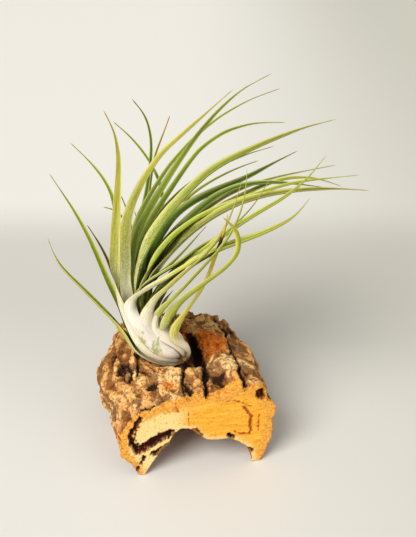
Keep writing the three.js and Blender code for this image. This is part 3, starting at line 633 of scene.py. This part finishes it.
# deep crevices on top of the bark: points across and along, half width, depth
barkCrevices = [
    ([(-4.4, -23.0), (-5.1, -30.0), (-5.4, -44.0)], 0.9, 3.0),
    ([(5.8, -8.0), (6.6, -14.0), (4.9, -24.5), (3.8, -35.0), (3.0, -44.0)], 1.3, 4.0),
    ([(22.0, 24.0), (22.9, -3.0), (23.8, -9.0), (20.5, -34.6), (20.4, -44.0)], 0.9, 3.2),
    ([(-38.6, -1.2), (-35.1, 1.3)], 0.8, 2.0),
    ([(-34.8, -10.0), (-33.0, -6.5)], 1.2, 2.8),
    ([(-26.2, -2.0), (-25.6, -9.0), (-27.2, -16.8)], 0.8, 2.2),
    ([(-31.4, -9.0), (-30.6, -13.0), (-31.3, -18.0)], 0.6, 1.8),
    ([(-27.4, -40.2), (-21.5, -40.6)], 0.7, 1.6),
    ([(-22.6, -28.4), (-20.4, -29.0)], 1.5, 2.0),
]
# the hole beside the plant, painted dark as shade, and the orange heartwood to its right
barkHole = [(3.2, 10.0), (5.0, 4.5), (6.4, 0.0), (4.6, -4.5), (5.6, -9.0)]
barkHeart = [((13.0, 2.5), (9.0, 11.5)), ((1.0, 12.0), (4.4, 8.0)), ((-13.0, -31.0), (2.8, 2.0))]
# how far back from the front end the bark is broken off: place across, reach
brokenBack = [
    (-46, 3.0), (-37, 3.2), (-33, 4.0), (-29, 0.8), (-20, 0.8), (-16, 3.6), (-10, 1.0), (-3.5, 1.4), (1, 1.0),
    (3, 0.2), (7, 1.2), (11, 4.2), (16, 7.2), (19.2, 6.6), (20.6, 0.5), (27, 0.9), (33, 4.6), (38, 2.4),
]
# dark splits and hollow layers in the cut end: points across and up, half width, depth
endSplits = [
    ([(-28.4, 34.7), (-31.9, 28.7), (-33.2, 25.4), (-32.4, 20.1), (-29.4, 15.6)], 1.3, 2.2),
    ([(-29.2, 15.3), (-26.0, 18.0), (-22.0, 21.0), (-18.1, 23.0), (-14.2, 24.4)], 2.1, 2.8),
    ([(-22.6, 12.6), (-20.3, 13.6), (-16.9, 16.4), (-14.0, 18.2)], 1.5, 2.4),
    ([(-28.6, 30.5), (-29.6, 28.8)], 0.35, 0.8),
    ([(-30.2, 26.5), (-30.8, 23.5), (-30.4, 21.5)], 0.35, 0.8),
    ([(-29.6, 20.0), (-28.6, 18.4)], 0.35, 0.8),
    ([(-31.8, 3.2), (-30.6, 5.2)], 1.1, 2.5),
    ([(-29.0, 7.4), (-27.6, 9.6), (-26.8, 11.6)], 0.65, 2.0),
    ([(29.0, 43.0), (29.8, 40.2)], 1.7, 3.0),
    ([(24.2, 8.6), (25.2, 7.2)], 0.9, 2.0),
    ([(-2.4, 24.1), (-0.1, 20.7)], 1.5, 1.5),
    ([(14.0, 19.1), (15.9, 17.6)], 0.9, 1.5),
]
# red-brown lines in the cut end
endVeins = [
    ([(20.8, 35.2), (22.6, 31.6), (24.4, 29.3), (23.9, 22.0), (23.7, 18.9)], 0.75),
    ([(16.4, 21.2), (19.6, 19.4), (23.7, 18.9)], 0.4),
    ([(28.3, 29.3), (27.6, 20.1)], 0.35),
    ([(11.8, 39.5), (16.0, 39.6), (20.4, 37.7), (25.6, 34.0)], 0.25),
    ([(-11.1, 42.8), (-11.0, 38.8), (-10.3, 36.2)], 0.32),
    ([(-5.6, 35.5), (-5.0, 31.0), (-4.8, 28.0)], 0.26),
]


def nearLine(points, line):
    best = np.full(len(points), 1e9)
    for start, end in zip(line[:-1], line[1:]):
        start, end = np.array(start), np.array(end)
        step = end - start
        t = np.clip(((points - start) @ step) / (step @ step), 0, 1)
        best = np.minimum(best, np.linalg.norm(points - start - t[:, None] * step, axis=1))
    return best


def distanceTo(points, chosen):
    tree = kdtree.KDTree(len(chosen))
    for index, point in enumerate(chosen):
        tree.insert(point, index)
    tree.balance()
    return np.array([tree.find(point)[2] for point in points])


def fineCork():
    source = bpy.data.meshes.new("corkSource")
    bm = bmesh.new()
    bm.from_mesh(nodes["cork_bark"].data)
    bmesh.ops.remove_doubles(bm, verts=bm.verts, dist=mergeReach)
    bm.to_mesh(source)
    bm.free()
    helper = bpy.data.objects.new("corkSource", source)
    scene.collection.objects.link(helper)
    remesh = helper.modifiers.new("fine", "REMESH")
    remesh.mode = "VOXEL"
    remesh.voxel_size = cork["fineness"] * 0.001 * 1
    remesh.use_smooth_shade = True
    mesh = bpy.data.meshes.new_from_object(helper.evaluated_get(bpy.context.evaluated_depsgraph_get()))
    bpy.data.objects.remove(helper)
    return mesh


# The bark's ridges, cracked plates and thin flakes at each place, with the fine grain and the broad swell
def barkNoise(mm):
    def stretched(spot, kind):
        across, along = cork[kind + "Across"], cork[kind + "Along"]
        return Vector((spot.x / across, spot.y / along, spot.z / across))

    ridge, plate, flake, grain, broad, patch = np.zeros((6, len(mm)))
    for i, (x, y, z) in enumerate(mm):
        spot = Vector((x, y, z))
        bent = spot
        for scale, reach in cork["bends"]:
            bent = bent + noise.noise_vector(spot * scale) * reach
        long = stretched(bent, "ridge")
        ridge[i] = 1 - 1.5 * abs(noise.noise(long)) - 0.7 * abs(noise.noise(long * 2.3))
        near = noise.voronoi(stretched(bent, "plate"))[0]
        plate[i] = near[1] - near[0]
        flake[i] = noise.fractal(stretched(bent, "flake"), 1.0, 2.1, 3)
        grain[i] = noise.fractal(spot * cork["grainScale"], 1.0, 2.0, 3)
        broad[i] = noise.noise(spot * cork["broadScale"])
        patch[i] = noise.noise(spot * cork["patchScale"] + Vector((7, 3, 5)))
    return ridge, plate, flake, grain, broad, patch


def buildCork():
    mesh = fineCork()
    count = len(mesh.vertices)
    places = np.zeros(count * 3)
    normals = np.zeros(count * 3)
    mesh.vertices.foreach_get("co", places)
    mesh.vertices.foreach_get("normal", normals)
    places, normals = places.reshape(-1, 3), normals.reshape(-1, 3)
    mm = places * 1000 - np.array(shift)
    frontY, backY = mm[:, 1].min(), mm[:, 1].max()
    front = smoothBlend(1.6, 0.6, mm[:, 1] - frontY) * smoothBlend(-0.4, -0.8, normals[:, 1])
    back = smoothBlend(1.2, 0.4, backY - mm[:, 1]) * smoothBlend(0.6, 0.9, normals[:, 1])
    cut = np.maximum(front, back)
    outward = np.stack([mm[:, 0], np.zeros(count), mm[:, 2] - 4], axis=1)
    outward /= np.linalg.norm(outward, axis=1)[:, None]
    inside = smoothBlend(0.1, -0.3, np.sum(normals * outward, axis=1)) * (1 - cut)
    bark = (1 - cut) * (1 - inside)

    # the bark's relief
    ridge, plate, flake, grain, broad, patch = barkNoise(mm)
    crack = (1 - smoothBlend(0.02, cork["crackWidth"], plate)) * smoothBlend(-0.05, 0.3, patch)
    steps = flake * cork["flakeSteps"]
    flat = (np.floor(steps) + smoothBlend(0.25, 0.5, steps - np.floor(steps))) / cork["flakeSteps"]
    height = (ridge - 0.85) * cork["ridgeHeight"] + flat * cork["flakeHeight"] - crack * cork["crackDepth"]
    plan = mm[:, [0, 1]]
    high = smoothBlend(22, 28, mm[:, 2])
    crevice = np.zeros(count)
    for line, half, depth in barkCrevices:
        ragged = nearLine(plan + np.stack([broad, patch], axis=1) * 2.6, line) + grain * 1.1 + broad * 0.7
        hit = (1 - smoothBlend(half * 0.4, half * 1.6, ragged)) * high
        height -= hit * depth
        crevice = np.maximum(crevice, hit)
    height = np.minimum(height, cork["highest"]) + grain * cork["grainHeight"]

    # where the bark is broken off at the front, the paler cork beneath shows
    reach = np.interp(mm[:, 0], *zip(*brokenBack)) + grain * 1.3
    broken = smoothBlend(reach + 0.5, reach - 0.5, mm[:, 1] - frontY) * bark * smoothBlend(10, 20, mm[:, 2])
    height = height * (1 - 0.5 * broken) - broken * 0.5

    # the cut ends: their rim follows the bark's relief
    onCut = np.nonzero(cut > 0.02)[0]
    nearEnds = (mm[:, 1] < frontY + cork["endReach"]) | (mm[:, 1] > backY - cork["endReach"])
    rimAway, tunnelAway = np.zeros((2, count))
    rimAway[onCut] = distanceTo(mm[onCut], mm[(bark > 0.6) & nearEnds])
    tunnelAway[onCut] = distanceTo(mm[onCut], mm[(inside > 0.6) & nearEnds])
    rimShare = smoothBlend(cork["rimReach"], 0, rimAway) * cut
    cutHeight = grain * 0.22 - smoothBlend(0.35, 0.75, grain) * 0.35
    acrossUp = mm[:, [0, 2]]
    hollow, vein = np.zeros((2, count))
    for line, half, depth in endSplits:
        away = nearLine(acrossUp + np.stack([patch, broad], axis=1) * 1.2, line) + grain * 0.8
        cutHeight -= (1 - smoothBlend(half * 0.6, half * 1.1, away)) * front * depth
        hollow = np.maximum(hollow, (1 - smoothBlend(half * 1.0, half * 1.35, away)) * front)
    for line, half in endVeins:
        away = nearLine(acrossUp + np.stack([broad, patch], axis=1) * 0.8, line)
        hit = (1 - smoothBlend(half * 0.5, half * 1.4, away + grain * 0.6)) * front
        vein = np.maximum(vein, hit)
    along = bark * height + inside * (grain * 0.6 + broad * 0.5) + cut * cutHeight
    moved = places + (normals * along[:, None] + outward * (rimShare * height)[:, None]) * 0.001
    moved[:, 2] = np.maximum(moved[:, 2], 0.0)
    moved[:, 1] = np.clip(moved[:, 1], (frontY + shift.y) * 0.001, (backY + shift.y) * 0.001)
    mesh.vertices.foreach_set("co", moved.reshape(-1))
    mesh.update()

    heart = np.zeros(count)
    for centre, radii in barkHeart:
        away = np.hypot((mm[:, 0] - centre[0]) / radii[0], (mm[:, 1] - centre[1]) / radii[1])
        heart = np.maximum(heart, 1 - smoothBlend(0.7, 1.1, away + broad * 0.5 + grain * 0.5))
    # where the hole beside the plant and the low places around its foot are painted dark as shade
    hole = 1 - smoothBlend(1.3, 2.9, nearLine(plan, barkHole) + grain * 0.8)
    hole = np.maximum(hole, smoothBlend(36.5, 33.5, mm[:, 2]) * (np.hypot(mm[:, 0] - 2, mm[:, 1] + 2) < 13))
    setValues(mesh, "corkCut", np.maximum(cut, broken))
    setValues(mesh, "corkInside", inside)
    # crevices and low places: partly their own dark brown and partly painted shade
    setValues(mesh, "corkCreviceDarkAndShade", np.maximum(smoothBlend(-0.9, -2.6, height), crevice) * bark * (1 - broken))
    setValues(mesh, "corkHigh", smoothBlend(-1.0, 0.3, height))
    # splits in the cut end: partly their own red-brown and partly painted shade
    setValues(mesh, "corkSplitDarkAndShade", hollow)
    setValues(mesh, "corkVein", vein)
    setValues(mesh, "corkRim", np.maximum(smoothBlend(cork["rimWidth"], 3.0, rimAway + grain), broken))
    setValues(mesh, "corkPale", smoothBlend(4.0, 0.8, tunnelAway + grain * 1.5) * cut)
    paleLeft = smoothBlend(4.0, -20.0, mm[:, 0] + grain * 3 + broad * 6)
    paleLeft = paleLeft * smoothBlend(2.5, 7.0, rimAway + grain * 2)
    setValues(mesh, "corkLeft", paleLeft * front)
    setValues(mesh, "corkHeart", heart * high * bark)
    setValues(mesh, "corkHole", hole * high * bark)
    for polygon in mesh.polygons:
        polygon.use_smooth = True
    piece = bpy.data.objects.new("corkBarkSkin", mesh)
    mesh.materials.clear()
    mesh.materials.append(makeCorkMaterial())
    print("cork has", count, "points")
    return finishPiece(piece, "cork_bark")


def makeCorkMaterial():
    material, tree, shader = newMaterial("corkBark", cork["roughness"], specular=0.2)
    place = objectPlace(tree)

    def overlay(colour, name, top, share=None):
        factor = attribute(tree, name)
        if share is not None:
            factor = fit(tree, factor, 0.0, 1.0, 0.0, share)
        return mixColour(tree, factor, colour, top)

    # the bark: blotches, dark grain, pale grit, and painted shade that darkens it the lower it lies in its
    # relief
    broad = noiseAt(tree, place, 70, 4, 0.6)
    fine = noiseAt(tree, place, 420, 4, 0.65, 0.6)
    grit = noiseAt(tree, place, 1300, 3, 0.7)
    barkColour = ramp(tree, broad, cork["barkColours"])
    barkColour = mixColour(tree, fit(tree, fine, 0.48, 0.6, 0.0, 0.8), barkColour, cork["barkDark"])
    barkColour = mixColour(tree, fit(tree, grit, 0.5, 0.7, 0.0, 0.5), barkColour, cork["barkPale"])
    lowShade = fit(tree, attribute(tree, "corkHigh"), 0.75, 0.1, 0.0, 0.72)
    barkColour = mixColour(tree, lowShade, barkColour, cork["hollowShade"])
    # crevices: partly their own dark brown and partly painted shade
    creviceDarkAndShade = fit(tree, attribute(tree, "corkCreviceDarkAndShade"), 0.05, 0.8, 0.0, 0.92)
    barkColour = mixColour(tree, creviceDarkAndShade, barkColour, cork["creviceDarkAndShadeColour"])
    barkColour = overlay(barkColour, "corkHeart", ramp(tree, fine, cork["heartColours"]))
    # painted shade in the hole beside the plant
    barkColour = overlay(barkColour, "corkHole", cork["holeShadeColour"])
    # the cut ends: streaks, a browner rim, a pale left side, pores, red lines, and splits darkened partly in
    # their own red-brown and partly with painted shade
    streak = noiseAt(tree, objectPlace(tree, (0.28, 1, 1.9)), 300, 5, 0.7)
    cutColour = ramp(tree, streak, cork["cutColours"])
    pores = noiseAt(tree, place, 900, 3, 0.75)
    rimColour = ramp(tree, noiseAt(tree, place, 700, 4, 0.8), cork["rimColours"])
    cutColour = overlay(cutColour, "corkRim", rimColour)
    cutColour = overlay(cutColour, "corkPale", cork["tunnelRimColour"], 0.6)
    cutColour = overlay(cutColour, "corkLeft", cork["paleLeftColour"], 0.75)
    cutColour = mixColour(tree, fit(tree, pores, 0.57, 0.66, 0.0, 0.75), cutColour, cork["poreColour"])
    cutColour = overlay(cutColour, "corkVein", cork["veinColour"])
    cutColour = overlay(cutColour, "corkSplitDarkAndShade", ramp(tree, fine, cork["splitColoursAndShade"]))
    colour = overlay(barkColour, "corkCut", cutColour)
    colour = overlay(colour, "corkInside", ramp(tree, fine, cork["tunnelColours"]))
    tree.links.new(colour, shader.inputs["Base Color"])
    height = plus(tree, fine, times(tree, grit, 0.6))
    bump(tree, height, shader, cork["bumpHeight"], 0.8)
    return material


buildCork()
print("cork bark built")


# the short stem in the knot hole: how it is slimmed and roughened, and its colours
stem = {
    "cuts": 3,
    "slimming": 0.8,
    "footLift": 0.75,
    "grainScale": 900,
    "grainHeight": 0.00012,
    "inset": 0.0001,
    "roughness": 0.8,
    "bumpHeight": 0.0003,
    "colours": [(0.3, "b98f4c"), (0.55, "dcc284"), (0.75, "efe2b8")],
}


def buildStem():
    bm = bmesh.new()
    bm.from_mesh(nodes["stem"].data)
    bmesh.ops.remove_doubles(bm, verts=bm.verts, dist=mergeReach)
    bmesh.ops.subdivide_edges(bm, edges=bm.edges, cuts=stem["cuts"], use_grid_fill=True, smooth=0.4)
    bmesh.ops.triangulate(bm, faces=bm.faces)
    butt = Vector(view["butt"])
    for vert in bm.verts:
        below = min((vert.co - butt).dot(bulbLine), 0)
        vert.co -= bulbLine * below * stem["footLift"]
        onAxis = butt + bulbLine * (vert.co - butt).dot(bulbLine)
        vert.co = onAxis + (vert.co - onAxis) * stem["slimming"] - viewRight * leaf["footShift"]
        grain = noise.fractal(vert.co * stem["grainScale"], 1.0, 2.0, 3)
        vert.co += vert.normal * (grain * stem["grainHeight"] - stem["inset"])
    for face in bm.faces:
        face.smooth = True
    mesh = bpy.data.meshes.new("stemRind")
    bm.to_mesh(mesh)
    bm.free()
    material, tree, shader = newMaterial("stemRind", stem["roughness"], specular=0.25)
    rings = noiseAt(tree, objectPlace(tree, (1, 1, 2.4)), 300, 4, 0.7)
    colour = ramp(tree, rings, stem["colours"])
    tree.links.new(colour, shader.inputs["Base Color"])
    bump(tree, rings, shader, stem["bumpHeight"], 0.8)
    mesh.materials.append(material)
    return finishPiece(bpy.data.objects.new("stemRind", mesh), "stem")


buildStem()
print("stem built")


# plain pale floor: its colours near the viewer, at the object, behind it and on the right, which paint the
# studio light, lighter near the viewer and behind, darker at the object, with painted shade on the right, and
# its half size in metres
floorLook = {
    "front": "e4e3df",
    "middle": "d0cec8",
    "back": "e9e8e3",
    "right": "b4b5a5",
    "rightShadeShare": 0.66,
    "size": 6.0,
    "roughness": 0.55,
}


def buildFloor():
    bm = bmesh.new()
    bmesh.ops.create_grid(bm, x_segments=2, y_segments=2, size=floorLook["size"])
    mesh = bpy.data.meshes.new("floor")
    bm.to_mesh(mesh)
    bm.free()
    material, tree, shader = newMaterial("paleFloor", roughness=floorLook["roughness"], specular=0.2)
    place = addNode(tree, "ShaderNodeTexCoord").outputs["Object"]
    parts = addNode(tree, "ShaderNodeSeparateXYZ")
    tree.links.new(place, parts.inputs[0])
    depth = plus(tree, times(tree, parts.outputs[0], math.sin(-azimuth)),
                 times(tree, parts.outputs[1], math.cos(azimuth)))
    # painted light: lighter near the viewer and behind, darker at the object
    colour = mixColour(tree, fit(tree, depth, -0.06, 0.1), floorLook["front"], floorLook["middle"])
    colour = mixColour(tree, fit(tree, depth, 0.15, 0.24), colour, floorLook["back"])
    across = plus(tree, times(tree, parts.outputs[0], math.cos(azimuth)),
                  times(tree, parts.outputs[1], math.sin(azimuth)))
    # painted shade on the right
    rightShade = fit(tree, across, -0.05, 0.3, 0.0, floorLook["rightShadeShare"])
    colour = mixColour(tree, rightShade, colour, floorLook["right"])
    tree.links.new(colour, shader.inputs["Base Color"])
    mesh.materials.append(material)
    floor = bpy.data.objects.new("floor", mesh)
    scene.collection.objects.link(floor)


buildFloor()

# plain soft studio light: a soft sun high on the left in front, a weaker one on the right, and an even sky
lights = {
    "key": {"place": (-0.7, -0.65, 0.95), "spread": 34, "power": 2.95, "colour": (1.0, 0.965, 0.91)},
    "fill": {"place": (0.8, -0.6, 0.5), "spread": 60, "power": 0.5, "colour": (1.0, 0.98, 0.95)},
}
sky = {"colour": (1.0, 0.99, 0.965, 1), "power": 0.38}
for name, values in lights.items():
    lamp = bpy.data.lights.new(name, "SUN")
    lamp.angle = math.radians(values["spread"])
    lamp.energy = values["power"]
    lamp.color = values["colour"]
    lampObject = bpy.data.objects.new(name, lamp)
    scene.collection.objects.link(lampObject)
    lampObject.location = values["place"]
    lampObject.rotation_euler = (-Vector(values["place"])).to_track_quat("-Z", "Y").to_euler()
world = bpy.data.worlds.new("studio")
world.use_nodes = True
background = world.node_tree.nodes["Background"]
background.inputs["Color"].default_value = sky["colour"]
background.inputs["Strength"].default_value = sky["power"]
scene.world = world
print("floor and lights placed")
